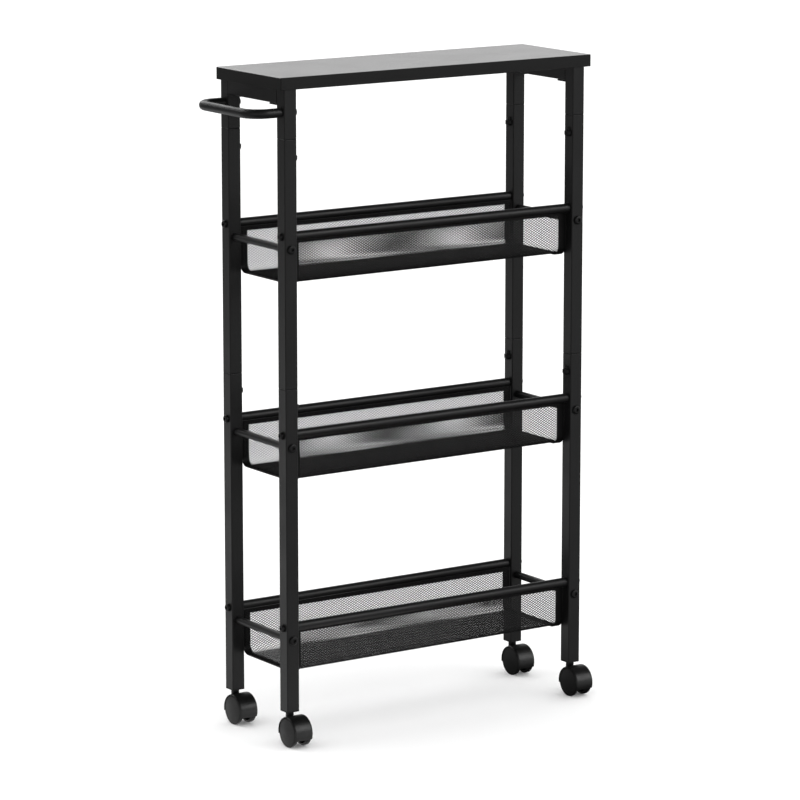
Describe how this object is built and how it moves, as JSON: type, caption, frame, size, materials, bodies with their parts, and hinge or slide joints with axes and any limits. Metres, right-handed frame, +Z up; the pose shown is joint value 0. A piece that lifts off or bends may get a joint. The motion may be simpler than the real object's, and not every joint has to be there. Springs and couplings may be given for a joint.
{
  "type": "rolling pantry cart",
  "caption": "Slim rolling pantry cart: laminated top board, three open-ended mesh trough baskets on square posts, bent tube handle and twin-wheel swivel casters.",
  "frame": {"origin": "on the floor, under the middle of the cart's bounding box", "axes": "+X along the board away from the handle, +Y to the back, +Z up"},
  "size_m": [0.543, 0.1864, 0.896],
  "materials": {
    "board": "black laminated particle board, satin",
    "frame_steel": "black powder coat, fine satin",
    "mesh_steel": "black powder-coated expanded mesh",
    "black_bolts": "black oxide, semi-gloss",
    "zinc_steel": "zinc plated",
    "plug_plastic": "black moulded plastic",
    "caster_plastic": "black nylon, semi-gloss",
    "wheel_plastic": "black nylon, satin"
  },
  "bodies": {
    "cart": {"top_board": "board", "left_top_frame": "frame_steel", "right_top_frame": "frame_steel", "front_left_lower_post": "frame_steel", "front_left_middle_post": "frame_steel", "front_right_lower_post": "frame_steel", "front_right_middle_post": "frame_steel", "back_left_lower_post": "frame_steel", "back_left_middle_post": "frame_steel", "back_right_lower_post": "frame_steel", "back_right_middle_post": "frame_steel", "lower_joint_sleeves": "frame_steel", "lower_joint_bolts": "black_bolts", "upper_joint_sleeves": "frame_steel", "upper_joint_bolts": "black_bolts", "push_handle": "frame_steel", "handle_end_plugs": "zinc_steel", "handle_bolts": "black_bolts", "top_front_rail": "frame_steel", "top_back_rail": "frame_steel", "top_left_rod": "frame_steel", "top_right_rod": "frame_steel", "top_basket_frame": "frame_steel", "top_basket_mesh": "mesh_steel", "middle_front_rail": "frame_steel", "middle_back_rail": "frame_steel", "middle_left_rod": "frame_steel", "middle_right_rod": "frame_steel", "middle_basket_frame": "frame_steel", "middle_basket_mesh": "mesh_steel", "bottom_front_rail": "frame_steel", "bottom_back_rail": "frame_steel", "bottom_left_rod": "frame_steel", "bottom_right_rod": "frame_steel", "bottom_basket_frame": "frame_steel", "bottom_basket_mesh": "mesh_steel", "rail_end_plugs": "zinc_steel", "rail_bolts": "black_bolts", "rod_bolts": "black_bolts", "board_screws": "black_bolts", "foot_plugs": "plug_plastic", "caster_stems": "black_bolts"},
    "front_left_caster": {"front_left_caster_hood": "caster_plastic", "front_left_caster_axle": "zinc_steel"},
    "front_left_left_wheel": {"front_left_left_wheel": "wheel_plastic"},
    "front_left_right_wheel": {"front_left_right_wheel": "wheel_plastic"},
    "front_right_caster": {"front_right_caster_hood": "caster_plastic", "front_right_caster_axle": "zinc_steel"},
    "front_right_left_wheel": {"front_right_left_wheel": "wheel_plastic"},
    "front_right_right_wheel": {"front_right_right_wheel": "wheel_plastic"},
    "back_left_caster": {"back_left_caster_hood": "caster_plastic", "back_left_caster_axle": "zinc_steel"},
    "back_left_left_wheel": {"back_left_left_wheel": "wheel_plastic"},
    "back_left_right_wheel": {"back_left_right_wheel": "wheel_plastic"},
    "back_right_caster": {"back_right_caster_hood": "caster_plastic", "back_right_caster_axle": "zinc_steel"},
    "back_right_left_wheel": {"back_right_left_wheel": "wheel_plastic"},
    "back_right_right_wheel": {"back_right_right_wheel": "wheel_plastic"}
  },
  "joints": [
    {"name": "front_left_swivel", "type": "hinge", "parent": "cart", "child": "front_left_caster", "pos_m": [-0.213, -0.05725, 0.04], "axis": [0, 0, 1], "continuous": true},
    {"name": "front_left_left_wheel_spin", "type": "hinge", "parent": "front_left_caster", "child": "front_left_left_wheel", "pos_m": [-0.213, -0.07125, 0.01975], "axis": [1, 0, 0], "continuous": true},
    {"name": "front_left_right_wheel_spin", "type": "hinge", "parent": "front_left_caster", "child": "front_left_right_wheel", "pos_m": [-0.213, -0.07125, 0.01975], "axis": [1, 0, 0], "continuous": true},
    {"name": "front_right_swivel", "type": "hinge", "parent": "cart", "child": "front_right_caster", "pos_m": [0.252, -0.05725, 0.04], "axis": [0, 0, 1], "continuous": true},
    {"name": "front_right_left_wheel_spin", "type": "hinge", "parent": "front_right_caster", "child": "front_right_left_wheel", "pos_m": [0.252, -0.07125, 0.01975], "axis": [1, 0, 0], "continuous": true},
    {"name": "front_right_right_wheel_spin", "type": "hinge", "parent": "front_right_caster", "child": "front_right_right_wheel", "pos_m": [0.252, -0.07125, 0.01975], "axis": [1, 0, 0], "continuous": true},
    {"name": "back_left_swivel", "type": "hinge", "parent": "cart", "child": "back_left_caster", "pos_m": [-0.213, 0.08075, 0.04], "axis": [0, 0, 1], "continuous": true},
    {"name": "back_left_left_wheel_spin", "type": "hinge", "parent": "back_left_caster", "child": "back_left_left_wheel", "pos_m": [-0.213, 0.06675, 0.01975], "axis": [1, 0, 0], "continuous": true},
    {"name": "back_left_right_wheel_spin", "type": "hinge", "parent": "back_left_caster", "child": "back_left_right_wheel", "pos_m": [-0.213, 0.06675, 0.01975], "axis": [1, 0, 0], "continuous": true},
    {"name": "back_right_swivel", "type": "hinge", "parent": "cart", "child": "back_right_caster", "pos_m": [0.252, 0.08075, 0.04], "axis": [0, 0, 1], "continuous": true},
    {"name": "back_right_left_wheel_spin", "type": "hinge", "parent": "back_right_caster", "child": "back_right_left_wheel", "pos_m": [0.252, 0.06675, 0.01975], "axis": [1, 0, 0], "continuous": true},
    {"name": "back_right_right_wheel_spin", "type": "hinge", "parent": "back_right_caster", "child": "back_right_right_wheel", "pos_m": [0.252, 0.06675, 0.01975], "axis": [1, 0, 0], "continuous": true}
  ]
}
